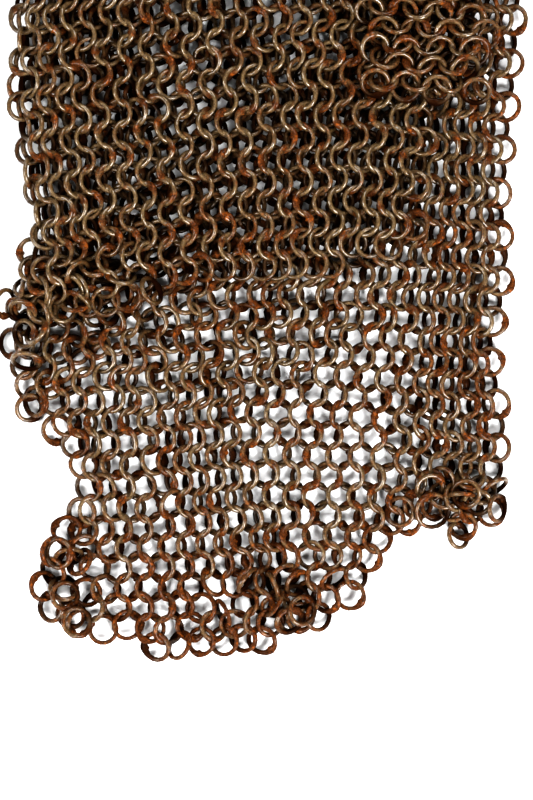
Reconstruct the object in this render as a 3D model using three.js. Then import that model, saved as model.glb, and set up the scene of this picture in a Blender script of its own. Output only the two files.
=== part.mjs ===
import * as THREE from 'three';

// A mail hauberk of riveted iron rings, laid flat on its back with the front up. +Y points to the
// shoulders, -X is the wearer's right, and z = 0 is the surface that it lies on. The origin is at
// the middle of its outline. Each piece is a wall as thick as one layer of linked rings: the back
// rests on the surface and the front lies on the back. All sizes are in millimetres.

// One layer of rings: the tilt of the linked rings makes it thicker than two wires
const RING_OUTER = 12.7;
const WIRE = 1.7;
const RING_TILT = THREE.MathUtils.degToRad(26);
const LAYER = (RING_OUTER - WIRE) * Math.sin(RING_TILT) + WIRE;
const GAP = 0.3;

// Main lengths of the garment
const SHOULDER_Y = 470;
const SHOULDER_END_Y = 455;
const UNDERARM_Y = 250;
const SPLIT_TOP_Y = -120;
const TAIL_Y = -470;
const CHEST_HALF = 240;
const NECK_HALF = 96;
const FRONT_NECK_DEPTH = 86;
const BACK_NECK_DEPTH = 22;
const CUFF_TOP = { x: 430, y: 420 };
const CUFF_BOTTOM = { x: 417, y: 227 };
const SLEEVE_EASE = 6;

// The free and folded edges are rounded off: how deep, and where the rounding has its points
const ROUNDING = 4.2;
const THINNEST = LAYER - ROUNDING;
const EDGE_INSETS = [1.1, ROUNDING];

// Half width of the body under the arms, by height
const BODY_SIDE = [
  { y: UNDERARM_Y, half: CHEST_HALF },
  { y: 190, half: 234 },
  { y: 60, half: 219 },
  { y: -20, half: 215 },
  { y: SPLIT_TOP_Y, half: 218 },
];

// Right half of the skirt: the fold at the wearer's side and the free edge at the split
const RIGHT_SIDE_FOLD = [
  { y: SPLIT_TOP_Y, x: -218 },
  { y: -203, x: -220 },
  { y: -244, x: -222 },
  { y: -273, x: -217.5 },
  { y: -290, x: -210 },
  { y: -309, x: -214.5 },
  { y: -326, x: -222.5 },
  { y: -346, x: -225.5 },
  { y: -366, x: -222 },
  { y: -379, x: -206 },
  { y: -393, x: -194 },
  { y: -411, x: -195 },
  { y: -426, x: -206 },
  { y: -448, x: -210.5 },
  { y: -460, x: -206 },
];
const RIGHT_BACK_SPLIT = [
  { y: SPLIT_TOP_Y, x: -7 },
  { y: -203, x: -8 },
  { y: -256, x: -13 },
  { y: -301, x: -16 },
  { y: -312, x: -12 },
  { y: -326, x: -13.5 },
  { y: -340, x: -19.5 },
  { y: -388, x: -13 },
  { y: -411, x: -21.5 },
];
const RIGHT_FRONT_SPLIT = [
  { y: SPLIT_TOP_Y, x: -7 },
  { y: -165, x: -9.5 },
  { y: -203, x: -26 },
  { y: -224, x: -39 },
  { y: -241, x: -46 },
  { y: -297, x: -49.5 },
  { y: -312, x: -56 },
];

// Hems of the right half, by the share of the way from the side fold (0) to the split (1)
const RIGHT_BACK_HEM = [
  { share: 0, y: -456 },
  { share: 0.1, y: -464 },
  { share: 0.32, y: TAIL_Y },
  { share: 0.46, y: -468 },
  { share: 0.56, y: -462 },
  { share: 0.65, y: -455 },
  { share: 0.715, y: -447 },
  { share: 0.77, y: -419 },
  { share: 0.84, y: -417 },
  { share: 0.9, y: -424 },
  { share: 0.95, y: -422 },
  { share: 1, y: -409 },
];
const RIGHT_FRONT_HEM = [
  { share: 0, y: -334 },
  { share: 0.12, y: -342 },
  { share: 0.2, y: -338 },
  { share: 0.3, y: -332 },
  { share: 0.42, y: -322.5 },
  { share: 0.7, y: -318.5 },
  { share: 0.93, y: -311 },
  { share: 1, y: -301 },
];

// Left half of the skirt, hanging straighter
const LEFT_SIDE_FOLD = [
  { y: SPLIT_TOP_Y, x: 218 },
  { y: -230, x: 221 },
  { y: -300, x: 214 },
  { y: -370, x: 221 },
  { y: -450, x: 207 },
];
const LEFT_SPLIT = [
  { y: SPLIT_TOP_Y, x: 7 },
  { y: -230, x: 10 },
  { y: -310, x: 16 },
  { y: -400, x: 14 },
  { y: -445, x: 22 },
];
const LEFT_BACK_HEM = [
  { share: 0, y: -446 },
  { share: 0.2, y: -461 },
  { share: 0.5, y: -467 },
  { share: 0.8, y: -457 },
  { share: 1, y: -438 },
];
const LEFT_FRONT_HEM = [
  { share: 0, y: -332 },
  { share: 0.25, y: -342 },
  { share: 0.6, y: -330 },
  { share: 1, y: -318 },
];

// Soft folds of the front and bunched places of the back: middle, direction of the crest in
// degrees from +X, half length, half width and height above the flat layer. The first is the
// corner of the front that is turned back over it beside the split, one layer high.
const FRONT_FOLDS = [
  { x: -55, y: -208, heading: 90, half: 46, spread: 34, rise: 6.5 },
  { x: -205, y: -246, heading: 96, half: 74, spread: 15, rise: 3.5 },
  { x: -200, y: -325, heading: 40, half: 32, spread: 22, rise: 4.5 },
  { x: -118, y: -238, heading: 100, half: 70, spread: 22, rise: 2.6 },
  { x: -150, y: -70, heading: 82, half: 120, spread: 26, rise: 4.2 },
  { x: -46, y: -20, heading: 96, half: 150, spread: 24, rise: 3.4 },
  { x: 62, y: -64, heading: 84, half: 130, spread: 28, rise: 4.4 },
  { x: 168, y: -110, heading: 98, half: 120, spread: 24, rise: 4 },
  { x: 104, y: -270, heading: 88, half: 56, spread: 22, rise: 3.2 },
  { x: -208, y: 262, heading: 132, half: 92, spread: 24, rise: 5 },
  { x: 212, y: 268, heading: 46, half: 96, spread: 26, rise: 5 },
  { x: -116, y: 226, heading: 118, half: 100, spread: 26, rise: 3.2 },
  { x: 104, y: 214, heading: 66, half: 110, spread: 26, rise: 3 },
  { x: -2, y: 300, heading: 4, half: 90, spread: 22, rise: 2.8 },
  { x: -346, y: 330, heading: 84, half: 74, spread: 22, rise: 3.6 },
  { x: 352, y: 326, heading: 98, half: 72, spread: 24, rise: 3.6 },
];
const BACK_BUNCHES = [
  { x: -212, y: -366, heading: 52, half: 16, spread: 12, rise: 3 },
  { x: -196, y: -440, heading: 84, half: 24, spread: 12, rise: 3.2 },
  { x: -116, y: -442, heading: 14, half: 34, spread: 14, rise: 2.6 },
  { x: -34, y: -402, heading: 66, half: 22, spread: 14, rise: 4 },
];

// How much of a fold's height the underside lifts: the rest is the rings crowding together
const UNDERSIDE_SHARE = 0.5;

// Reads one column of a table, easing from row to row, so that no value passes its rows
function readTable(table, key, column, place) {
  const falling = table[0][key] > table[table.length - 1][key];
  const rows = falling ? [...table].reverse() : table;
  if (place <= rows[0][key]) return rows[0][column];
  for (let i = 1; i < rows.length; i += 1) {
    if (place <= rows[i][key]) {
      const share = (place - rows[i - 1][key]) / (rows[i][key] - rows[i - 1][key]);
      const eased = THREE.MathUtils.smoothstep(share, 0, 1);
      return THREE.MathUtils.lerp(rows[i - 1][column], rows[i][column], eased);
    }
  }
  return rows[rows.length - 1][column];
}

// Height of the folds at one place: each is a cosine hump across and along its crest
function foldHeight(folds, x, y) {
  let height = 0;
  for (const fold of folds) {
    const turn = THREE.MathUtils.degToRad(fold.heading);
    const along = (x - fold.x) * Math.cos(turn) + (y - fold.y) * Math.sin(turn);
    const across = (y - fold.y) * Math.cos(turn) - (x - fold.x) * Math.sin(turn);
    const reach = Math.hypot(along / fold.half, across / fold.spread);
    if (reach < 1) height += fold.rise * (0.5 + 0.5 * Math.cos(Math.PI * reach));
  }
  return height;
}

// The two layers: heights of the underside and of the top over one place
const backLayer = {
  under: () => 0,
  over: (x, y) => LAYER + foldHeight(BACK_BUNCHES, x, y),
  roundsOver: false,
};
const frontLayer = {
  under: (x, y) => LAYER + GAP + UNDERSIDE_SHARE * foldHeight(FRONT_FOLDS, x, y),
  over: (x, y) => 2 * LAYER + GAP + foldHeight(FRONT_FOLDS, x, y),
  roundsOver: true,
};

// Places from 0 to 1 across a panel, with a few close to each edge that is rounded
function stations(count, length, roundStart, roundEnd) {
  const places = Array.from({ length: count + 1 }, (_, i) => i / count);
  for (const inset of EDGE_INSETS) {
    if (roundStart) places.push(inset / length);
    if (roundEnd) places.push(1 - inset / length);
  }
  return places.sort((a, b) => a - b);
}

// How much the wall is cut away at this distance from its nearest rounded edge
function rounding(distance) {
  const inward = Math.min(distance, ROUNDING) / ROUNDING;
  return ROUNDING * (1 - Math.sqrt(1 - (1 - inward) ** 2));
}

// A closed wall over a plan: plan(u, v) gives the place on the surface, u across and v along,
// and rounded names the edges at u = 0, u = 1, v = 0 and v = 1 that are rounded off
function wall(layer, plan, size, cells, rounded) {
  const us = stations(cells.across, size.width, rounded.u0, rounded.u1);
  const vs = stations(cells.along, size.length, rounded.v0, rounded.v1);
  const over = [];
  const under = [];
  for (const v of vs) {
    for (const u of us) {
      const [x, y] = plan(u, v);
      const edges = [ROUNDING];
      if (rounded.u0) edges.push(u * size.width);
      if (rounded.u1) edges.push((1 - u) * size.width);
      if (rounded.v0) edges.push(v * size.length);
      if (rounded.v1) edges.push((1 - v) * size.length);
      const cut = rounding(Math.min(...edges));
      const top = layer.over(x, y);
      const bottom = layer.under(x, y);
      over.push([x, y, layer.roundsOver ? Math.max(top - cut, bottom + THINNEST) : top]);
      under.push([x, y, layer.roundsOver ? bottom : bottom + cut]);
    }
  }
  return closeGrid(over, under, us.length, vs.length);
}

// Joins an upper and a lower grid of points into one closed body with its faces outwards
function closeGrid(over, under, acrossCount, alongCount) {
  const triangles = [];
  const lower = over.length;
  const quad = (a, b, c, d) => triangles.push(a, b, c, a, c, d);
  for (let j = 0; j + 1 < alongCount; j += 1) {
    for (let i = 0; i + 1 < acrossCount; i += 1) {
      const corner = j * acrossCount + i;
      const cell = [corner, corner + 1, corner + acrossCount + 1, corner + acrossCount];
      quad(...cell);
      quad(...cell.map((index) => index + lower).reverse());
    }
  }
  const rim = [];
  for (let i = 0; i < acrossCount - 1; i += 1) rim.push(i);
  for (let j = 0; j < alongCount - 1; j += 1) rim.push(j * acrossCount + acrossCount - 1);
  for (let i = acrossCount - 1; i > 0; i -= 1) rim.push((alongCount - 1) * acrossCount + i);
  for (let j = alongCount - 1; j > 0; j -= 1) rim.push(j * acrossCount);
  rim.forEach((from, k) => {
    const to = rim[(k + 1) % rim.length];
    quad(to, from, from + lower, to + lower);
  });

  // A plan that runs the other way round turns every face over
  const [corner, across, along] = [over[0], over[1], over[acrossCount]];
  const right = [across[0] - corner[0], across[1] - corner[1]];
  const down = [along[0] - corner[0], along[1] - corner[1]];
  const clockwise = right[0] * down[1] - right[1] * down[0] < 0;
  const geometry = new THREE.BufferGeometry();
  geometry.setAttribute('position', new THREE.Float32BufferAttribute([...over, ...under].flat(), 3));
  geometry.setIndex(clockwise ? triangles.reverse() : triangles);
  geometry.computeVertexNormals();
  return geometry;
}

const hauberk = new THREE.Group();

function addPiece(name, geometry, colour) {
  const iron = new THREE.MeshStandardMaterial({ color: colour, roughness: 0.55, metalness: 0.7 });
  const piece = new THREE.Mesh(geometry, iron);
  piece.name = name;
  hauberk.add(piece);
}

// Front and back of the body: shoulders, neck opening, straight armhole seams and shaped sides
function bodyPlan(neckDepth) {
  return (u, v) => {
    const side = 2 * u - 1;
    const fromNeck = Math.abs(side) * CHEST_HALF;
    const slope = (fromNeck - NECK_HALF) / (CHEST_HALF - NECK_HALF);
    const shoulder = THREE.MathUtils.lerp(SHOULDER_Y, SHOULDER_END_Y, Math.max(slope, 0));
    const scoop = Math.sqrt(Math.max(1 - (fromNeck / NECK_HALF) ** 2, 0));
    const top = shoulder - neckDepth * scoop;
    const y = THREE.MathUtils.lerp(top, SPLIT_TOP_Y + GAP / 2, v);
    return [side * readTable(BODY_SIDE, 'y', 'half', y), y];
  };
}

const BODY_SIZE = { width: 2 * CHEST_HALF, length: SHOULDER_Y - SPLIT_TOP_Y };
const BODY_CELLS = { across: 20, along: 15 };
const BODY_ROUNDED = { u0: true, u1: true, v0: true, v1: false };
for (const [name, layer, neckDepth, colour] of [
  ['back_body', backLayer, BACK_NECK_DEPTH, 0x4a3020],
  ['front_body', frontLayer, FRONT_NECK_DEPTH, 0x5d3c24],
]) {
  addPiece(name, wall(layer, bodyPlan(neckDepth), BODY_SIZE, BODY_CELLS, BODY_ROUNDED), colour);
}

// Half of the skirt: between its side fold and the split, from the waist seam to its hem
function skirtPlan(sideFold, splitEdge, hem) {
  return (u, v) => {
    const y = THREE.MathUtils.lerp(SPLIT_TOP_Y - GAP / 2, readTable(hem, 'share', 'y', u), v);
    const outer = readTable(sideFold, 'y', 'x', y);
    const inner = readTable(splitEdge, 'y', 'x', y);
    return [THREE.MathUtils.lerp(outer, inner, u), y];
  };
}

const SKIRT_WIDTH = 210;
const SKIRT_ROUNDED = { u0: true, u1: true, v0: false, v1: true };
const skirts = [
  {
    name: 'back_skirt_right',
    layer: backLayer,
    plan: skirtPlan(RIGHT_SIDE_FOLD, RIGHT_BACK_SPLIT, RIGHT_BACK_HEM),
    length: SPLIT_TOP_Y - TAIL_Y,
    cells: { across: 22, along: 24 },
    colour: 0x54351f,
  },
  {
    name: 'back_skirt_left',
    layer: backLayer,
    plan: skirtPlan(LEFT_SIDE_FOLD, LEFT_SPLIT, LEFT_BACK_HEM),
    length: SPLIT_TOP_Y - TAIL_Y,
    cells: { across: 12, along: 14 },
    colour: 0x4f3320,
  },
  {
    name: 'front_skirt_right',
    layer: frontLayer,
    plan: skirtPlan(RIGHT_SIDE_FOLD, RIGHT_FRONT_SPLIT, RIGHT_FRONT_HEM),
    length: 200,
    cells: { across: 20, along: 18 },
    colour: 0x664126,
  },
  {
    name: 'front_skirt_left',
    layer: frontLayer,
    plan: skirtPlan(LEFT_SIDE_FOLD, LEFT_SPLIT, LEFT_FRONT_HEM),
    length: 210,
    cells: { across: 14, along: 12 },
    colour: 0x613e25,
  },
];
for (const skirt of skirts) {
  const size = { width: SKIRT_WIDTH, length: skirt.length };
  const geometry = wall(skirt.layer, skirt.plan, size, skirt.cells, SKIRT_ROUNDED);
  addPiece(skirt.name, geometry, skirt.colour);
}

// Half of a sleeve: from the armhole seam down to the open cuff, folded along its top and bottom
// edges, which bow outwards by the sleeve's ease
function sleevePlan(side) {
  return (u, v) => {
    const bow = SLEEVE_EASE * Math.sin(Math.PI * v);
    const top = THREE.MathUtils.lerp(SHOULDER_END_Y, CUFF_TOP.y, v) + bow;
    const bottom = THREE.MathUtils.lerp(UNDERARM_Y, CUFF_BOTTOM.y, v) - bow;
    const reach = THREE.MathUtils.lerp(CUFF_BOTTOM.x, CUFF_TOP.x, u);
    const x = THREE.MathUtils.lerp(CHEST_HALF + GAP, reach, v);
    return [side * x, THREE.MathUtils.lerp(bottom, top, u)];
  };
}

const SLEEVE_SIZE = { width: SHOULDER_END_Y - UNDERARM_Y, length: CUFF_TOP.x - CHEST_HALF };
const SLEEVE_CELLS = { across: 9, along: 9 };
const SLEEVE_ROUNDED = { u0: true, u1: true, v0: false, v1: true };
for (const [sideName, side] of [['right', -1], ['left', 1]]) {
  for (const [layerName, layer, colour] of [
    ['back', backLayer, 0x4c3120],
    ['front', frontLayer, 0x603d25],
  ]) {
    const geometry = wall(layer, sleevePlan(side), SLEEVE_SIZE, SLEEVE_CELLS, SLEEVE_ROUNDED);
    addPiece(`${sideName}_sleeve_${layerName}`, geometry, colour);
  }
}

export default hauberk;
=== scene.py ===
import math

import bpy
import numpy as np
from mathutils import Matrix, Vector
from mathutils.bvhtree import BVHTree
from mathutils.kdtree import KDTree


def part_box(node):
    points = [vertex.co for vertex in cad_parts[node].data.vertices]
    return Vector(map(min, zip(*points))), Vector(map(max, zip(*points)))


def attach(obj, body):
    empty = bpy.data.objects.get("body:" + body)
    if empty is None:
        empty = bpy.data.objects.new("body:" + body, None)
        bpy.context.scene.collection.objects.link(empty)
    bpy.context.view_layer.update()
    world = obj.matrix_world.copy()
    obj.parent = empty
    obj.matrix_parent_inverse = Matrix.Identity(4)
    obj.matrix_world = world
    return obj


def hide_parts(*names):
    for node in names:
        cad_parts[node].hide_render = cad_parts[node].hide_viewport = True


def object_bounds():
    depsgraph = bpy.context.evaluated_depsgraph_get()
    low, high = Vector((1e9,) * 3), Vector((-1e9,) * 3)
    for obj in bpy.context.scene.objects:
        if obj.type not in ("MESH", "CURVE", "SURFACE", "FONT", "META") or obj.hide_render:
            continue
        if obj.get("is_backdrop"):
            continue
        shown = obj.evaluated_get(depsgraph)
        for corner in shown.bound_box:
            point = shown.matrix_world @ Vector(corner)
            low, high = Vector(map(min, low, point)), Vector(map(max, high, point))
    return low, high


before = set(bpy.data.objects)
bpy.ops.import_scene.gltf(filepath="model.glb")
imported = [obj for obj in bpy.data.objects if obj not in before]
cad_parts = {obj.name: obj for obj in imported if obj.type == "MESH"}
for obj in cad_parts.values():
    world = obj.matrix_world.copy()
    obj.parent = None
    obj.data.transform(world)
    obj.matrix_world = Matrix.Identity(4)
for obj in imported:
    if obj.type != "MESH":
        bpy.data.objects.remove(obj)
cad_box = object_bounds()


# The two layers of the coat. A mail coat is one cloth of linked iron rings, closed by folds at the
# sides and over the shoulders, so that laid flat it is a front layer on a back layer. The walls of
# each are read as a map of the height of its top, nan where it has no cloth, and as its edge lines.
FRONT_NODES = [
    "front_body", "front_skirt_right", "front_skirt_left", "right_sleeve_front", "left_sleeve_front",
]
BACK_NODES = [
    "back_body", "back_skirt_right", "back_skirt_left", "right_sleeve_back", "left_sleeve_back",
]
CELL = 0.002
GRID_X = np.arange(-0.443, 0.4431, CELL)
GRID_Y = np.arange(-0.483, 0.4831, CELL)
HIGH_ABOVE = 0.1


def layer_tops(nodes):
    """Height of the top of these walls over each cell of the grid, or nan where they have none."""
    points, faces = [], []
    for name in nodes:
        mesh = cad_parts[name].data
        faces += [[index + len(points) for index in face.vertices] for face in mesh.polygons]
        points += [vertex.co.copy() for vertex in mesh.vertices]
    tree = BVHTree.FromPolygons(points, faces)
    tops = np.full((len(GRID_Y), len(GRID_X)), np.nan)
    down = Vector((0, 0, -1))
    for row, y in enumerate(GRID_Y):
        for column, x in enumerate(GRID_X):
            hit = tree.ray_cast(Vector((x, y, HIGH_ABOVE)), down)[0]
            if hit is not None:
                tops[row, column] = hit.z
    # The narrow gaps between two walls are cloth too
    for axis in (0, 1):
        both_sides = (np.roll(tops, 1, axis) + np.roll(tops, -1, axis)) / 2
        tops = np.where(np.isnan(tops), both_sides, tops)
    return tops


front_tops = layer_tops(FRONT_NODES)
back_tops = layer_tops(BACK_NODES)


def read_grid(grid, x, y):
    """Value of the nearest cell at each place."""
    column = np.clip(np.rint(np.nan_to_num((x - GRID_X[0]) / CELL)).astype(int), 0, len(GRID_X) - 1)
    row = np.clip(np.rint(np.nan_to_num((y - GRID_Y[0]) / CELL)).astype(int), 0, len(GRID_Y) - 1)
    return grid[row, column]


def running_mean(values, reach):
    """Each value averaged with its neighbours, so that a line read from the grid has no steps."""
    weights = np.hanning(2 * reach + 3)[1:-1]
    return np.convolve(np.pad(values, reach, mode="edge"), weights / weights.sum(), mode="valid")


def edge_lines(tops, side, split_end, side_end, highest):
    """Distance from the centre line to the split and to the side fold of one half, for each height.

    Below the heights where these edges turn into the hem, their last distance goes on.
    """
    half = np.where(side * GRID_X[None, :] > 0, ~np.isnan(tops), False)
    away = np.abs(GRID_X)
    lines = []
    for lowest, edge in ((split_end, np.min), (side_end, np.max)):
        rows = [row for row, y in enumerate(GRID_Y) if lowest <= y <= highest and half[row].any()]
        distance = running_mean(np.array([edge(away[half[row]]) for row in rows]), 3)
        lines.append((GRID_Y[rows], distance))
    return lines


def top_and_bottom(side):
    """Distances from the centre line in one half, and how high and how low the coat reaches there."""
    top = np.nanmax(np.where(np.isnan(front_tops), -1, GRID_Y[:, None]), axis=0)
    bottom = np.nanmin(np.where(np.isnan(front_tops), 1, GRID_Y[:, None]), axis=0)
    half = side * GRID_X > 0
    away = np.abs(GRID_X[half])
    order = np.argsort(away)
    return away[order], top[half][order], bottom[half][order]


# The ring. Riveted mail of this kind is made of iron wire 1.7 mm thick, wound on a 9.3 mm rod and cut
# into rings, whose ends are flattened, lapped and pierced, and closed with a wedge of wire as a rivet.
# Each ring holds four others: two in the next row on either side, which lean the other way.
WIRE = 0.0017
RING = 0.0055
LEAN = math.radians(26)
# How thick one layer of linked rings is, and how far apart two rings are that pull on each other
LAYER = 2 * RING * math.sin(LEAN) + WIRE
TAUT = 0.0093


# The rows. The maker links the rings in rows, which here run up and down the coat and are counted
# outwards from its centre line: row 56 stands on its edge along the side fold, and those past it make
# the sleeve. The steps along a row are half the distance between its rings, counted from the shoulder.
ROWS = 56
STEPS = 136
SLEEVE_ROWS = 43
SLEEVE_STEPS = 25
SLEEVE_SPACING = 0.00435
FOLD_INSET = 0.0056
FOLD_RADIUS = 0.0042
EDGE_INSET = 0.0052
SHORTEST_STEP = 0.007
UNDERARM_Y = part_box("front_body")[1].y - 0.22
CHEST_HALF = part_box("front_body")[1].x
WAIST_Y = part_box("front_skirt_right")[1].y

# Where handling has crowded the rows together or opened them out: row and height at the middle, how
# far it reaches in rows and in metres, and the change in spacing
CROWDING = {
    ("front", -1): [
        dict(row=54, y=-0.25, rows=6, reach=0.12, change=-0.33),
        dict(row=39, y=-0.25, rows=9, reach=0.12, change=0.22),
    ],
    ("back", -1): [
        dict(row=4, y=-0.27, rows=10, reach=0.13, change=-0.26),
        dict(row=16.5, y=-0.397, rows=6, reach=0.036, change=0.46),
        dict(row=33, y=-0.372, rows=4, reach=0.02, change=-0.18),
        dict(row=40, y=-0.452, rows=8, reach=0.03, change=0.3),
        dict(row=20, y=-0.45, rows=7, reach=0.022, change=-0.2),
    ],
    ("front", 1): [
        dict(row=50, y=-0.20, rows=8, reach=0.14, change=-0.22),
        dict(row=16, y=-0.28, rows=9, reach=0.08, change=0.15),
    ],
    ("back", 1): [
        dict(row=8, y=-0.36, rows=9, reach=0.07, change=-0.18),
        dict(row=34, y=-0.40, rows=10, reach=0.06, change=0.16),
    ],
}
# Rows that end on the way down from the first height to the second: at the split edge of the front,
# where it is turned back, and at the side of the back, where the hem is worn away
ROWS_ENDING = [
    dict(layer="front", side=-1, edge="split", rows=12, start=-0.12, end=-0.205),
    dict(layer="back", side=-1, edge="side", rows=9.5, start=-0.33, end=-0.392),
]
# Heights where the split and the side fold of each half turn into the hem
HEM_CORNERS = {
    ("front", -1): (-0.295, -0.322),
    ("back", -1): (-0.403, -0.447),
    ("front", 1): (-0.308, -0.322),
    ("back", 1): (-0.428, -0.44),
}


def smooth(value, start, end):
    """Goes from 0 at the start to 1 at the end, without a corner at either."""
    share = np.clip((value - start) / (end - start), 0, 1)
    return share * share * (3 - 2 * share)


def row_places(layer, side, lines, y):
    """Distance of each of the flat rows from the centre line, where row r has the height y[r]."""
    split_line, side_line = lines
    rows = np.arange(len(y))
    spacing = np.ones((len(y), ROWS - 1))
    middle = np.arange(ROWS - 1) + 0.5
    for place in CROWDING[layer, side]:
        near_row = np.exp(-(((middle - place["row"]) / place["rows"]) ** 2))
        near_height = np.exp(-(((y - place["y"]) / place["reach"]) ** 2))
        spacing += place["change"] * near_height[:, None] * near_row[None, :]
    reached = np.concatenate([np.zeros((len(y), 1)), np.cumsum(spacing, axis=1)], axis=1)
    share = reached[rows, rows] / reached[:, -1]
    # The split starts just below the waist, and the fold is pressed flatter near the hem
    in_skirt = smooth(y, WAIST_Y + 0.012, WAIST_Y - 0.03)
    first = in_skirt * (np.interp(y, *split_line) + EDGE_INSET)
    inset = FOLD_INSET - 0.0016 * smooth(y, -0.345, -0.36)
    last = np.where(y > UNDERARM_Y, CHEST_HALF, np.interp(y, *side_line)) - inset
    first += (1 - in_skirt) * 0.5 * last / (ROWS - 0.5)
    ends = {"split": np.zeros(len(y)), "side": np.full(len(y), ROWS - 1.0)}
    for ending in ROWS_ENDING:
        if (ending["layer"], ending["side"]) == (layer, side):
            ended = ending["rows"] * smooth(y, ending["start"], ending["end"])
            ends[ending["edge"]] += ended if ending["edge"] == "split" else -ended
    end_shares = {}
    for edge, end in ends.items():
        whole = np.clip(np.floor(end).astype(int), 0, ROWS - 2)
        at_end = reached[rows, whole] + (end - whole) * (reached[rows, whole + 1] - reached[rows, whole])
        end_shares[edge] = at_end / reached[:, -1]
    share = (share - end_shares["split"]) / (end_shares["side"] - end_shares["split"])
    return first + share * (last - first)


def weave_half(side):
    """Heights and distances from the centre line of the rows of one half, front and back."""
    lines = {
        layer: edge_lines(tops, side, *HEM_CORNERS[layer, side], UNDERARM_Y - 0.004)
        for layer, tops in (("front", front_tops), ("back", back_tops))
    }
    away, top, bottom = top_and_bottom(side)
    neck = away[np.argmax(top)]
    row_count = ROWS + 1 + SLEEVE_ROWS
    y = np.full((row_count, STEPS), np.nan)
    places = {layer: np.full((row_count, STEPS), np.nan) for layer in ("front", "back")}

    # Over the chest and the sleeve the rows are straight, from the shoulder down to the underarm
    flat = np.arange(ROWS)
    fold_at = CHEST_HALF - FOLD_INSET
    chest = (flat + 0.5) / (ROWS - 0.5) * fold_at
    across = np.concatenate([chest, fold_at + SLEEVE_SPACING * np.arange(1, SLEEVE_ROWS + 2)])
    fold_top = np.interp(np.maximum(across, neck), away, running_mean(top, 5)) - FOLD_INSET
    fold_bottom = np.interp(across, away, running_mean(bottom, 5)) + FOLD_INSET
    quarter_turn = math.pi * FOLD_RADIUS / 2
    sleeve_step = (fold_top - fold_bottom + 2 * quarter_turn) / SLEEVE_STEPS
    sleeve_step[:ROWS] = sleeve_step[ROWS]
    for step in range(SLEEVE_STEPS + 1):
        y[:, step] = fold_top - step * sleeve_step + quarter_turn
        places["front"][:, step] = places["back"][:, step] = across
    y[:, 0] = fold_top + FOLD_RADIUS
    y[ROWS:, SLEEVE_STEPS] = fold_bottom[ROWS:] - FOLD_RADIUS

    # Below it they follow the edges, and each step is as long as the rows' spacing leaves it. The
    # back alone decides that below the hem of the front, and beside the split
    for step in range(SLEEVE_STEPS, STEPS):
        if step > SLEEVE_STEPS:
            y[flat, step] = running_mean(y[flat, step - 1] - half_step, 3)
        here = y[flat, step]
        found = {layer: row_places(layer, side, lines[layer], here) for layer in places}
        alone = smooth(here, WAIST_Y - 0.13, WAIST_Y - 0.21)
        if side < 0:
            beside_split = smooth(flat, 16, 8) * smooth(here, WAIST_Y - 0.03, WAIST_Y - 0.08)
            alone = np.maximum(alone, beside_split)
        gap = {layer: np.gradient(found[layer]) for layer in found}
        gap = (0.5 + 0.5 * alone) * gap["back"] + (0.5 - 0.5 * alone) * gap["front"]
        half_step = running_mean(np.sqrt(np.maximum(TAUT**2 - gap**2, SHORTEST_STEP**2)), 8)
        for layer in places:
            places[layer][flat, step] = found[layer]
        if step > SLEEVE_STEPS:
            y[ROWS, step] = y[ROWS - 1, step]
            edge = np.interp(y[ROWS, step], *lines["back"][1])
            places["front"][ROWS, step] = places["back"][ROWS, step] = edge - FOLD_INSET + FOLD_RADIUS
    return y, places


# The turned-back corner. The inner corner of the front skirt lies folded over on it beside the split,
# so there its rows of rings run across, crowded, on top of the front layer's own
FLAP_LEFT, FLAP_RIGHT = -0.0765, -0.0325
FLAP_BOTTOM, FLAP_TOP = -0.2395, -0.172
FLAP_ROW_GAP = 0.00365
FLAP_HALF_PITCH = 0.0068


def under_corner(x, y):
    """Where the front lies flat under its turned-back corner."""
    beside = (x > FLAP_LEFT - 0.01) & (x < FLAP_RIGHT + 0.012)
    return beside & (y > FLAP_BOTTOM - 0.008) & (y < FLAP_TOP)


def corner_rings():
    """Place, facing, size and whether it is on the front, for each ring of the corner."""
    for row, y in enumerate(np.arange(FLAP_BOTTOM, FLAP_TOP, FLAP_ROW_GAP)):
        right = FLAP_RIGHT - 0.004 * math.sin(row * 0.8) - (row % 2) * FLAP_HALF_PITCH
        lean = math.sin(LEAN) * (1 if row % 2 else -1)
        for step, x in enumerate(np.arange(right, FLAP_LEFT, -2 * FLAP_HALF_PITCH)):
            height = 2.5 * LAYER + 0.0008 * math.sin(step + row * 0.4)
            yield (x, y - 0.05 * (x - FLAP_LEFT), height), (0, lean, math.cos(LEAN)), 1.0, True


# The cloth. The rows of both halves are filled with rings, which lean by turns to one side and the
# other. A ring belongs to the cloth where its centre is EDGE inside the outline, and less at the worn
# hem. Some spare cloth is woven past it, and cut off once the rings are taut.
EDGE = 0.0029
HEM_EDGE = 0.001
WORN_HEM_Y = -0.405
SPARE = 0.012
MIDDLE = LAYER + 0.0001
FOLD_REACH = 0.009
WANDER = 0.00045
WAVES = 7


def covered(tops, x, y, margin):
    """Where the layer reaches at least this far round each place."""
    inside = np.ones(x.shape, bool)
    for turn in np.linspace(0, 2 * math.pi, 8, endpoint=False):
        inside &= ~np.isnan(read_grid(tops, x + margin * math.cos(turn), y + margin * math.sin(turn)))
    return inside


def unit(vectors):
    """The vectors, each made one long."""
    return vectors / np.linalg.norm(vectors, axis=-1, keepdims=True)


def difference(points, axis):
    """Direction from one neighbour to the other along an axis of the weave, or to the one there is."""
    ahead = np.roll(points, -1, axis=axis)
    behind = np.roll(points, 1, axis=axis)
    last = [slice(None)] * 3
    last[axis] = -1
    ahead[tuple(last)] = np.nan
    last[axis] = 0
    behind[tuple(last)] = np.nan
    both = ahead - behind
    forward = ahead - points
    backward = points - behind
    return np.where(np.isnan(both), np.where(np.isnan(forward), backward, forward), both)


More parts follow.
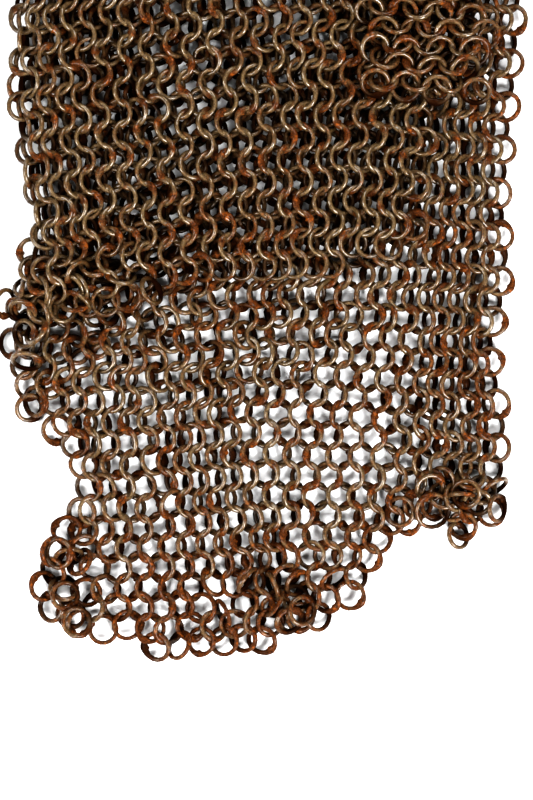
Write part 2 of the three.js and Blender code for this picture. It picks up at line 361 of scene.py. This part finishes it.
def drift(layer, x, y):
    """How far the cloth wanders from its even lie at each place, as handling leaves it."""
    seeded = np.random.default_rng({"front": 5, "back": 11, "both": 23}[layer])
    moved = np.zeros(x.shape + (2,))
    for _ in range(WAVES):
        heading, phase = seeded.uniform(0, 2 * math.pi, 2)
        length = seeded.uniform(0.024, 0.06)
        wave = np.sin((x * math.cos(heading) + y * math.sin(heading)) * 2 * math.pi / length + phase)
        moved += wave[..., None] * seeded.normal(0, 1, 2) * WANDER
    return moved


def rings_of_half(side):
    """Centre, normal and place in the weave of each ring of one half of the coat."""
    even_y, places = weave_half(side)
    rows, steps = np.meshgrid(np.arange(even_y.shape[0]), np.arange(even_y.shape[1]), indexing="ij")
    woven = ((rows + steps) % 2 == (0 if side < 0 else 1)) & ~np.isnan(even_y)
    own_share = np.clip((ROWS - rows) / 8, 0, 1)[..., None] * np.clip(steps / 8, 0, 1)[..., None]
    lean = np.where(rows % 2 == 0, 1.0, -1.0)[..., None]
    side_fold = (rows == ROWS) & (steps > SLEEVE_STEPS)
    shoulder_fold = steps == 0
    sleeve_fold = (rows >= ROWS) & (steps == SLEEVE_STEPS)
    folded = side_fold | shoulder_fold | sleeve_fold
    found = []
    for layer, tops, flat_top in (("front", front_tops, 2 * LAYER), ("back", back_tops, LAYER)):
        even_x = side * places[layer]
        moved = 0.5 * drift("both", even_x, even_y) + own_share * drift(layer, even_x, even_y)
        x = even_x + moved[..., 0]
        y = even_y + moved[..., 1]
        top = read_grid(tops, x, y)
        if layer == "front":
            top = np.where(under_corner(x, y), flat_top, top)
        z = np.where(np.isnan(top), flat_top, top) - LAYER / 2
        z = np.where(folded, MIDDLE, z)
        points = np.stack([x, y, z], axis=-1)

        # A ring faces up from the cloth, and in a fold away from the coat
        outwards = unit(difference(points, 0))
        upwards = unit(-difference(points, 1))
        facing = np.cross(outwards, upwards) * side
        facing = unit(facing * np.sign(facing[..., 2:3] + 1e-9))
        facing[side_fold] = (side, 0, 0)
        outwards[side_fold] = (0, 0, -1)
        facing[shoulder_fold] = (0, 1, 0)
        facing[sleeve_fold] = (0, -1, 0)
        normals = unit(math.cos(LEAN) * facing + math.sin(LEAN) * lean * outwards)

        # A fold is there where the cloth beside it is, and the side fold where both layers are
        inward = np.where(side_fold, x - side * FOLD_REACH, x)
        from_fold = np.where(sleeve_fold, y + FOLD_REACH, np.where(shoulder_fold, y - FOLD_REACH, y))
        near = covered(tops, inward, from_fold, EDGE)
        for across, up in ((1, 0), (-1, 0), (0, 1), (1, 1), (-1, 1)):
            near |= ~folded & covered(tops, x + across * SPARE, y + up * SPARE, EDGE)
        kept = woven & near
        if layer == "back":
            kept &= ~folded
        else:
            kept &= ~side_fold | covered(back_tops, inward, y, FOLD_RADIUS)
        on_front = np.full(rows.shape, layer == "front")
        in_weave = np.stack([side * (rows + 0.5), steps, on_front, folded], axis=-1)
        found.append((points[kept], normals[kept], in_weave[kept]))
    return [np.concatenate(parts) for parts in zip(*found)]


halves = [rings_of_half(-1), rings_of_half(1)]
centres, normals, weave = (np.concatenate(parts) for parts in zip(*halves))
is_front = weave[:, 2] > 0
is_fold = weave[:, 3] > 0


# The hold of the rings. Every ring passes through its neighbours one row out and one step up or
# down. Where the outline would draw them further apart than they reach, the cloth gives until it is
# taut, and then it is cut to the outline.
def neighbours():
    """Pairs of rings that hold each other."""
    index_of = {}
    for index, (row, step, front, folded) in enumerate(weave):
        for layer in (0, 1) if folded else (int(front),):
            index_of[row, step, layer] = index
    found = set()
    for index, (row, step, front, folded) in enumerate(weave):
        for layer in (0, 1) if folded else (int(front),):
            for step_by in (-1, 1):
                other = index_of.get((row + 1, step + step_by, layer))
                if other is not None:
                    found.add((index, other))
    pairs = np.array(sorted(found))
    one, other = pairs.T
    split = (weave[one, 0] < 0) & (weave[other, 0] > 0) & (centres[one, 1] < WAIST_Y)
    return pairs[~split]


def total_for(index, vectors):
    """Sum of the vectors that fall to each ring."""
    sums = [np.bincount(index, vectors[:, axis], minlength=len(centres)) for axis in range(3)]
    return np.stack(sums, axis=1)


def pull_taut(rounds):
    """Draws rings together that are further apart than they reach."""
    for _ in range(rounds):
        apart = centres[held[:, 1]] - centres[held[:, 0]]
        length = np.linalg.norm(apart, axis=1, keepdims=True)
        pull = 0.25 * apart * np.maximum(1 - TAUT / length, 0)
        centres[:] += total_for(held[:, 0], pull) - total_for(held[:, 1], pull)


def within_outline():
    """Which rings belong to the cloth now that it is taut."""
    x, y = centres[:, 0], centres[:, 1]
    edge = np.where(~is_front & (y < WORN_HEM_Y), HEM_EDGE, EDGE)
    return is_fold | np.where(is_front, covered(front_tops, x, y, edge), covered(back_tops, x, y, edge))


held = neighbours()
pull_taut(60)
inside = within_outline()
centres, normals, weave, is_front, is_fold = (
    part[inside] for part in (centres, normals, weave, is_front, is_fold)
)
held = neighbours()
pull_taut(20)


# Loose rings. Where the back's hem is torn, single rings hang from it or lie heaped on it. Those
# that hang have a place and a height in millimetres, how they are tipped, and their size. A heap has
# its middle, its reach across and along, how many rings lie on it and their height, in millimetres.
HANGING_RINGS = [
    dict(x=-37.2, y=-422.0, z=0.8, tip=(0.5, 0.1), size=0.93),
    dict(x=-49.3, y=-411.4, z=6.5, tip=(0.1, -0.25), size=1.26),
    dict(x=-61.7, y=-411.0, z=3.2, tip=(-0.3, 0.2), size=1.05),
    dict(x=-24.0, y=-409.5, z=3.0, tip=(0.7, -0.3), size=0.95),
    dict(x=-212.5, y=-368.6, z=1.2, tip=(0.2, 0.1), size=1.0),
    dict(x=-202.1, y=-377.2, z=0.9, tip=(-0.1, 0.1), size=1.0),
]
HEAPS = [
    dict(x=-212, y=-333, across=9, along=16, rings=8, height=9),
    dict(x=-196, y=-437, across=10, along=15, rings=3, height=7),
    dict(x=-114, y=-446, across=17, along=10, rings=5, height=6),
    dict(x=-190, y=-322, across=26, along=14, rings=3, height=14),
    dict(x=-36, y=-404, across=17, along=8, rings=7, height=6),
]
# A heap higher than this lies on the front layer
ON_FRONT = 8
random = np.random.default_rng(17)


def hanging_rings():
    """Place, facing, size and whether it is on the front, for each ring that hangs from the hem."""
    for ring in HANGING_RINGS:
        height = ring["z"] / 1000 + RING * math.hypot(*ring["tip"])
        yield (ring["x"] / 1000, ring["y"] / 1000, height), (*ring["tip"], 1), ring["size"], False


def heaped_rings():
    """Place, facing, size and whether it is on the front, for each ring in a heap."""
    for heap in HEAPS:
        for _ in range(heap["rings"]):
            off = random.normal(0, 0.5, 2)
            place = (
                (heap["x"] + off[0] * heap["across"]) / 1000,
                (heap["y"] + off[1] * heap["along"]) / 1000,
                (heap["height"] + random.uniform(-1, 3)) / 1000,
            )
            yield place, (*random.normal(0, 0.7, 2), 1), 1.0, heap["height"] > ON_FRONT


def near_heaps():
    """How much each ring lies in a heap, from 0 to 1."""
    share = np.zeros(count)
    for heap in HEAPS:
        off = (centres[:, :2] * 1000 - (heap["x"], heap["y"])) / (heap["across"], heap["along"])
        share = np.maximum(share, np.exp(-((off**2).sum(axis=1))))
    return share


loose_rings = [*corner_rings(), *hanging_rings(), *heaped_rings()]
added, added_facing, added_sizes, added_front = (np.array(part) for part in zip(*loose_rings))
woven_count = len(centres)
centres = np.concatenate([centres, added])
normals = np.concatenate([normals, unit(added_facing)])
count = len(centres)
is_front = np.concatenate([is_front, added_front])
is_fold = np.concatenate([is_fold, np.zeros(len(added), bool)])
weave = np.concatenate([weave, np.full((len(added), 4), np.nan)])
heaped = near_heaps()


# The lie of each ring. A ring is closed by hand, so no two are quite as wide, and its neighbours turn
# it. At a free edge it is held by fewer of them and lies flatter, at the hem three rings deep, and in
# a heap it lies anyhow.
FLATTER = np.array([1.2, 0.7, 0.4, 0.2, 0])
SIZE_SCATTER = 0.018
PLACE_SCATTER = 0.0005
TURN_SCATTER = 0.16


def scatter(amount, shape):
    """Small random differences, none of them far out."""
    return random.normal(0, amount, shape).clip(-2.2 * amount, 2.2 * amount)


def rings_from_edge():
    """0 for a ring at a free edge, 1 to 3 for those next to it, and 4 for the others."""
    turns = np.where(at_edge, 0, 4)
    for ring_in in (1, 2, 3):
        beside = held[(turns[held] == ring_in - 1).any(axis=1)].ravel()
        turns[beside] = np.minimum(turns[beside], ring_in)
    return turns


holds = np.bincount(held.ravel(), minlength=count)
at_edge = (holds < 4) & ~is_fold & (np.arange(count) < woven_count)
from_edge = rings_from_edge()
at_hem = np.where(is_front, 0, smooth(centres[:, 1], -0.37, -0.41))
flatter = FLATTER[from_edge] * np.where(at_edge, 1, at_hem)
normals = unit(normals + flatter[:, None] * (0, 0, 1))
turned = is_fold & (normals[:, 2] ** 2 < 0.3) & (weave[:, 1] > SLEEVE_STEPS)
normals[turned] = unit(normals[turned] + scatter(1, (turned.sum(), 1)) * (0, 0, 0.7))
ring_radius = RING * (1 + scatter(SIZE_SCATTER, count))
ring_radius[woven_count:] *= added_sizes
stirred = 1 + 2.5 * heaped + 0.6 * at_hem * (from_edge < 4)
target = centres + scatter(PLACE_SCATTER, (count, 3)) * (1, 1, 0.5) * stirred[:, None]
target_normals = unit(normals + scatter(TURN_SCATTER, (count, 3)) * stirred[:, None])


# How the rings come to rest. Wherever the wire of one ring comes nearer to the wire of another than
# its thickness, the two give way and turn as they do so, while their neighbours draw them back to
# their place, and none of them sinks into the surface below.
CLEAR = 0.95 * WIRE
PULL_BACK = 0.09
MAY_TOUCH = 0.0135
STILL_NEAR = 0.0045
HALF_WIRE_LYING = 0.75 * WIRE


def near_pairs():
    """Pairs of rings whose wires may touch."""
    tree = KDTree(count)
    for index, centre in enumerate(centres):
        tree.insert(centre, index)
    tree.balance()
    pairs = [
        (index, other)
        for index, centre in enumerate(centres)
        for _, other, _ in tree.find_range(centre, MAY_TOUCH)
        if other > index
    ]
    return np.array(pairs)


def spread_of(normal):
    """A direction in the plane of each ring."""
    return unit(np.cross(normal, (1.0, 0.0, 0.0)))


def nearest(first, second, turns):
    """From the wire of the first rings to that of the second, at some turns round the first.

    Gives the vectors between the wires, and those from the centre of each ring to its own wire.
    """
    along = spread_of(normals)[first]
    across = np.cross(normals[first], along)
    arms = (
        np.cos(turns)[None, :, None] * along[:, None, :]
        + np.sin(turns)[None, :, None] * across[:, None, :]
    ) * ring_radius[first][:, None, None]
    point = centres[first][:, None, :] + arms
    offset = point - centres[second][:, None, :]
    height = np.einsum("ijk,ik->ij", offset, normals[second])
    flat = offset - height[..., None] * normals[second][:, None, :]
    length = np.linalg.norm(flat, axis=2) + 1e-9
    flat *= (ring_radius[second][:, None] / length)[..., None]
    return flat - offset, arms, flat


def settle(chosen, rounds, samples):
    """Moves the chosen rings and their neighbours until their wires clear each other."""
    pairs = near_pairs()
    pairs = pairs[chosen[pairs[:, 0]] | chosen[pairs[:, 1]]]
    turns = np.linspace(0, 2 * math.pi, samples, endpoint=False)
    both_ways = np.concatenate([pairs, pairs[:, ::-1]])
    for turn in range(rounds):
        first, second = both_ways.T
        apart, arm, other_arm = nearest(first, second, turns)
        length = np.linalg.norm(apart, axis=2)
        picked = np.arange(len(first)), length.argmin(axis=1)
        length = length[picked]
        if turn % 8 == 0:
            near = length < STILL_NEAR
            both_ways = both_ways[near]
            first, second = both_ways.T
            picked = tuple(part[near] for part in picked)
            length = length[near]
        touching = length < CLEAR
        give = (1 - CLEAR / np.maximum(length[touching], 1e-5)) * 0.5
        push = apart[picked][touching] * give[:, None]
        first, second = first[touching], second[touching]
        arm, other_arm = arm[picked][touching], other_arm[picked][touching]
        met = np.bincount(first, minlength=count) + np.bincount(second, minlength=count)
        share = (1.4 / np.maximum(met, 1.4))[:, None]
        move = (total_for(first, push) - total_for(second, push)) * share
        swing = total_for(first, np.cross(arm, push)) - total_for(second, np.cross(other_arm, push))
        centres[:] += move + PULL_BACK * (target - centres)
        turned_by = np.cross(swing * share / RING**2, normals)
        normals[:] = unit(normals + turned_by + PULL_BACK * (target_normals - normals))
        lowest = ring_radius * np.sqrt(1 - normals[:, 2] ** 2) + HALF_WIRE_LYING
        centres[:, 2] = np.maximum(centres[:, 2], lowest)


# The worn lower end of the right half of the skirt is made in full detail
VIEW_MIDDLE = Vector((-0.116, -0.3662, 0))
in_view = (np.abs(centres[:, 0] - VIEW_MIDDLE.x) < 0.125) & (centres[:, 1] < -0.185)
settle(np.ones(count, bool), 8, 12)
settle(in_view, 50, 24)


# The wire. It is drawn round and 1.7 mm thick, and rust has swollen it a little, more in some rings
# than in others. At the lap the two flattened ends lie one on the other, wider and thinner than the
# wire, and the rivet through them stands out in the middle.
LAP = math.radians(42)
RIVET = math.radians(13)
LAP_WIDER = 0.75
LAP_THINNER = 0.2
RIVET_SIDEWAYS = 0.45
RIVET_UP = 0.2
LAP_TURNS = np.radians(np.concatenate([np.arange(-42, 43, 14), np.linspace(42, 318, 14)[1:-1]]))
PLAIN_TURNS = np.linspace(0, 2 * math.pi, 8, endpoint=False)

lap_at = random.uniform(0, 2 * math.pi, count)
oval_at = random.uniform(0, 2 * math.pi, count)
ovalness = np.abs(scatter(0.022, count))
rivet = random.uniform(0.2, 1, count)
swollen = 1.09 + scatter(0.04, count)

# How rusty each ring is: most at the free edges and down the hem, least on the front. Where the front
# covers the back, the back's wire gets more painted shade and keeps half its shine
tone = random.uniform(0, 1, count)
tone[at_edge] = 0.7 + tone[at_edge] / 2
tone += 0.5 * at_hem * smooth(centres[:, 1], -0.405, -0.435) + np.where(is_front, -0.25, 0.05)
tone[woven_count:] = 0.3 + 0.7 * tone[woven_count:]
under_front = ~is_front & covered(front_tops, centres[:, 0], centres[:, 1], 0.004)
shade_under_front = np.where(under_front, 0.5, 1.0)


def each(values):
    """One value for each ring, ready to go with its turns and the sides of its wire."""
    return values[:, None, None]


def ring_vertices(chosen, turns, sides, marked):
    """Points of the wire of these rings, and at each how much it is lapped and how high it lies, halved
    under the front as painted shade.
    """
    theta = np.asarray(turns)[None, :, None]
    psi = (np.arange(sides) / sides * 2 * math.pi + math.pi / sides)[None, None, :]
    normal = normals[chosen]
    along = spread_of(normal)
    across = np.cross(normal, along)
    round_ring = theta + each(lap_at[chosen])
    oval = 1 + each(ovalness[chosen]) * np.cos(2 * (round_ring - each(oval_at[chosen])))
    radius = each(ring_radius[chosen]) * oval
    flat = marked * np.clip(1 - np.abs(theta) / LAP, 0, 1)
    point = marked * np.clip(1 - np.abs(theta) / RIVET, 0, 1) * each(rivet[chosen])
    # A wire of few sides is drawn a little thicker, to be as stout as the round one
    thick = WIRE / 2 * each(swollen[chosen]) / (math.cos(math.pi / sides) ** 0.5)
    side = thick * (1 + LAP_WIDER * flat) * np.cos(psi)
    side = side + np.where(np.cos(psi) < 0, -1, 0.0) * point * WIRE * RIVET_SIDEWAYS
    up = thick * (1 - LAP_THINNER * flat) * np.sin(psi)
    up = up + np.where(np.sin(psi) > 0, 1, 0) * point * WIRE * RIVET_UP
    outward = (
        np.cos(round_ring)[..., None] * along[:, None, None, :]
        + np.sin(round_ring)[..., None] * across[:, None, None, :]
    )
    vertices = centres[chosen][:, None, None, :] + outward * (radius + side)[..., None]
    vertices = vertices + normal[:, None, None, :] * up[..., None]
    height = (vertices[..., 2] - each(centres[chosen, 2])) / (RING * math.sin(LEAN) + WIRE / 2)
    return vertices, flat, (height.clip(-1, 1) + 1) / 2 * each(shade_under_front[chosen])


def wire_mesh(name, chosen, turns, sides, marked):
    """Closed rings, with how rusty each is, where it is lapped, how high each point lies for the painted
    shade, and a cell of the map for each.
    """
    vertices, flat, crown = ring_vertices(chosen, turns, sides, marked)
    rings, around = len(chosen), len(turns)
    ring, turn, side = np.meshgrid(np.arange(rings), np.arange(around), np.arange(sides), indexing="ij")
    here = (ring * around + turn) * sides
    further = (ring * around + (turn + 1) % around) * sides
    next_side = (side + 1) % sides
    corners = [here + side, further + side, further + next_side, here + next_side]
    faces = np.stack(corners, axis=-1).reshape(-1, 4)
    mesh = bpy.data.meshes.new(name)
    mesh.vertices.add(vertices.size // 3)
    mesh.vertices.foreach_set("co", vertices.ravel())
    mesh.loops.add(faces.size)
    mesh.loops.foreach_set("vertex_index", faces.ravel())
    mesh.polygons.add(len(faces))
    mesh.polygons.foreach_set("loop_start", np.arange(0, faces.size, 4))
    mesh.polygons.foreach_set("use_smooth", np.ones(len(faces), bool))
    mesh.update(calc_edges=True)

    # Each ring has its own cell of the map, four times as wide as it is high, with a margin
    per_row = max(1, math.ceil(math.sqrt(rings / 4)))
    deep = math.ceil(rings / per_row)
    corner_turn = np.stack([turn, turn + 1, turn + 1, turn], axis=-1) / around
    corner_side = np.stack([side, side, side + 1, side + 1], axis=-1) / sides
    u = ((ring % per_row)[..., None] + 0.02 + 0.96 * corner_turn) / per_row
    v = ((ring // per_row)[..., None] + 0.06 + 0.88 * corner_side) / deep
    layer = mesh.uv_layers.new(name="OFBake")
    layer.data.foreach_set("uv", np.stack([u, v], axis=-1).ravel())
    for label, values in (("tone", each(tone[chosen])), ("lapped", flat), ("crown", crown)):
        values = np.broadcast_to(values, ring.shape)
        attribute = mesh.attributes.new(label, "FLOAT", "POINT")
        attribute.data.foreach_set("value", np.ascontiguousarray(values, dtype=np.float32).ravel())
    piece = bpy.data.objects.new(name, mesh)
    bpy.context.scene.collection.objects.link(piece)
    return piece


# The rust. Old iron wire that was oiled and worn is bare and dark where it rubs, with brown rust in
# patches, orange flecks and fine pits in it, most of it at the laps. Down in the weave, where nothing rubs,
# it is dull, and its colour is darkened to near black as painted shade. The sizes are those of the real
# patches, in metres.
RUST_AREA = 0.0357
RUST_PATCH = 0.00303
RUST_FLECK = 0.001613
PIT = 0.0007143
PIT_DEPTH = 0.0003


def linear(hex_colour):
    """Linear colour of an sRGB hex value."""
    parts = [int(hex_colour[index:index + 2], 16) / 255 for index in (1, 3, 5)]
    return [part / 12.92 if part <= 0.04045 else ((part + 0.055) / 1.055) ** 2.4 for part in parts] + [1.0]


def node(tree, kind, inputs=None, **settings):
    """Adds a node: its inputs are values or other nodes' outputs, and settings are its properties."""
    made = tree.nodes.new(kind)
    for key, value in settings.items():
        setattr(made, key, value)
    for key, value in (inputs or {}).items():
        if isinstance(value, bpy.types.NodeSocket):
            tree.links.new(value, made.inputs[key])
        else:
            made.inputs[key].default_value = value
    return made


def rusted_iron():
    """Iron wire with brown rust, worn bare and oiled on its crowns, with painted shade darkening the low
    parts of each ring.
    """
    material = bpy.data.materials.new("Rusted iron wire")
    material.use_nodes = True
    tree = material.node_tree
    tree.nodes.clear()
    place = node(tree, "ShaderNodeTexCoord").outputs["Object"]

    def of_ring(label):
        return node(tree, "ShaderNodeAttribute", attribute_name=label).outputs["Fac"]

    def noise(size, **more):
        return node(tree, "ShaderNodeTexNoise", {"Vector": place, "Scale": 1 / size, **more}).outputs["Fac"]

    def ranged(value, low=0.0, high=1.0, first=0.0, last=1.0):
        ends = {"From Min": low, "From Max": high, "To Min": first, "To Max": last}
        return node(tree, "ShaderNodeMapRange", {"Value": value, **ends}).outputs[0]

    def product(one, other):
        return node(tree, "ShaderNodeMath", {0: one, 1: other}, operation="MULTIPLY").outputs[0]

    def added_to(total, value, weight):
        inputs = {0: value, 1: weight, 2: total}
        return node(tree, "ShaderNodeMath", inputs, operation="MULTIPLY_ADD").outputs[0]

    def mixed(share, one, other):
        return node(tree, "ShaderNodeMix", {"Factor": share, 6: one, 7: other}, data_type="RGBA").outputs[2]

    # How much rust there is at each place
    patches = noise(RUST_PATCH, Detail=3.0, Roughness=0.6)
    amount = added_to(patches, of_ring("lapped"), 0.45)
    amount = added_to(amount, of_ring("tone"), 0.3)
    amount = added_to(amount, noise(RUST_AREA, Detail=2.0), 0.5)
    rust = ranged(amount, 0.78, 1.2)

    # Bare iron and rust, both darker in their pits
    grain = noise(PIT, Detail=3.0, Roughness=0.7)
    pits = ranged(grain, 0.36, 0.62)
    bare_colour = mixed(pits, linear("#715c3a"), linear("#402e1b"))
    rust_colour = mixed(pits, linear("#613718"), linear("#2a1608"))
    flecks = ranged(noise(RUST_FLECK, Detail=2.0), 0.55, 0.72)
    rust_colour = mixed(flecks, rust_colour, linear("#82491a"))
    worn_colour = mixed(rust, bare_colour, rust_colour)

    # Oiled on the crowns, dull below them, and there the colour is darkened to near black as painted shade
    rubbed_and_unshaded = ranged(of_ring("crown"), 0.18, 0.72)
    oiled = product(rubbed_and_unshaded, ranged(rust, first=0.9, last=0.15))
    shader = node(tree, "ShaderNodeBsdfPrincipled", {
        "Base Color": mixed(rubbed_and_unshaded, linear("#1e0e05"), worn_colour),
        "Metallic": ranged(rust, first=0.25, last=0.0),
        "Roughness": ranged(rust, first=0.36, last=0.55),
        "Normal": node(tree, "ShaderNodeBump", {"Height": grain, "Distance": PIT_DEPTH}).outputs[0],
        "Coat Weight": oiled,
        "Coat Roughness": 0.15,
        "Specular IOR Level": product(oiled, 0.4),
    })
    node(tree, "ShaderNodeOutputMaterial", {"Surface": shader.outputs[0]})
    return material


# The panels. Body, skirt and sleeves are woven in one with each other, so a panel is the rings that stand
# for one wall. The rows and steps that it spans are counted.
rusted = rusted_iron()


def wall_of(centre, front):
    """Name of the wall that a ring stands for."""
    x, y, _ = centre
    layer = "front" if front else "back"
    if abs(x) > CHEST_HALF and y > UNDERARM_Y - 0.03:
        return f"right_sleeve_{layer}" if x < 0 else f"left_sleeve_{layer}"
    if y < WAIST_Y:
        return f"{layer}_skirt_right" if x < 0 else f"{layer}_skirt_left"
    return f"{layer}_body"


def panel(name, wall, chosen, turns, sides, marked):
    """The chosen rings as one piece, put in place of their wall, which is hidden."""
    piece = wire_mesh(name, chosen, turns, sides, marked)
    piece.data.materials.append(rusted)
    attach(piece, "root")
    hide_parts(wall)
    across, along = (np.nanmax(weave[chosen, :2], axis=0) - np.nanmin(weave[chosen, :2], axis=0)) + 2


walls = np.array([wall_of(centre, front) for centre, front in zip(centres, is_front)])
for wall in FRONT_NODES + BACK_NODES:
    plain = np.nonzero((walls == wall) & ~in_view)[0]
    fine = np.nonzero((walls == wall) & in_view)[0]
    if len(plain):
        panel(f"mail_{wall}", wall, plain, PLAIN_TURNS, 3, 0)
    if len(fine):
        panel(f"mail_{wall}_hem", wall, fine, LAP_TURNS, 6, 1)


# The surface under the coat, which is plain white paper, with a soft lamp in front on the right and
# two weaker ones at the left and behind, and the camera straight above the worn end of the skirt
def surface():
    """A wide sheet of paper that the coat lies on."""
    reach = 3
    corners = [(-reach, -reach, 0), (reach, -reach, 0), (reach, reach, 0), (-reach, reach, 0)]
    mesh = bpy.data.meshes.new("floor")
    mesh.from_pydata(corners, [], [(0, 1, 2, 3)])
    floor = bpy.data.objects.new("floor", mesh)
    bpy.context.scene.collection.objects.link(floor)
    paper = bpy.data.materials.new("Matt white paper")
    paper.use_nodes = True
    shader = paper.node_tree.nodes["Principled BSDF"]
    shader.inputs["Base Color"].default_value = linear("#fafafa")
    shader.inputs["Roughness"].default_value = 0.9
    mesh.materials.append(paper)
    floor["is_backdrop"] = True


def soft_light(name, place, size, power):
    """A square lamp this far from the middle of the view and turned towards it."""
    data = bpy.data.lights.new(name, "AREA")
    data.shape = "SQUARE"
    data.size = size
    data.energy = power
    lamp = bpy.data.objects.new(name, data)
    lamp.location = Vector(place) + VIEW_MIDDLE
    lamp.rotation_euler = (-Vector(place)).to_track_quat("-Z", "Y").to_euler()
    bpy.context.scene.collection.objects.link(lamp)


def camera_above(height, lens):
    """A camera that looks straight down at the middle of the view."""
    data = bpy.data.cameras.new("camera")
    data.lens = lens
    data.sensor_width = 36
    camera = bpy.data.objects.new("camera", data)
    camera.location = VIEW_MIDDLE + Vector((0, 0, height))
    bpy.context.scene.collection.objects.link(camera)
    bpy.context.scene.camera = camera


surface()
soft_light("key", (0.75, -0.95, 1.15), 0.6, 46)
soft_light("left", (-1.15, -0.35, 1.1), 0.6, 26)
soft_light("far", (0.35, 1.1, 1.2), 0.6, 17)
world = bpy.data.worlds.new("studio")
world.use_nodes = True
world.node_tree.nodes["Background"].inputs["Color"].default_value = (1, 1, 1, 1)
world.node_tree.nodes["Background"].inputs["Strength"].default_value = 0.08
bpy.context.scene.world = world
bpy.context.scene.view_settings.view_transform = "Standard"
bpy.context.scene.view_settings.look = "High Contrast"
camera_above(0.775, 85)

visual_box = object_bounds()
boxes = {"cad": cad_box, "visual": visual_box}
{name: [list(corner) for corner in box] for name, box in boxes.items()}
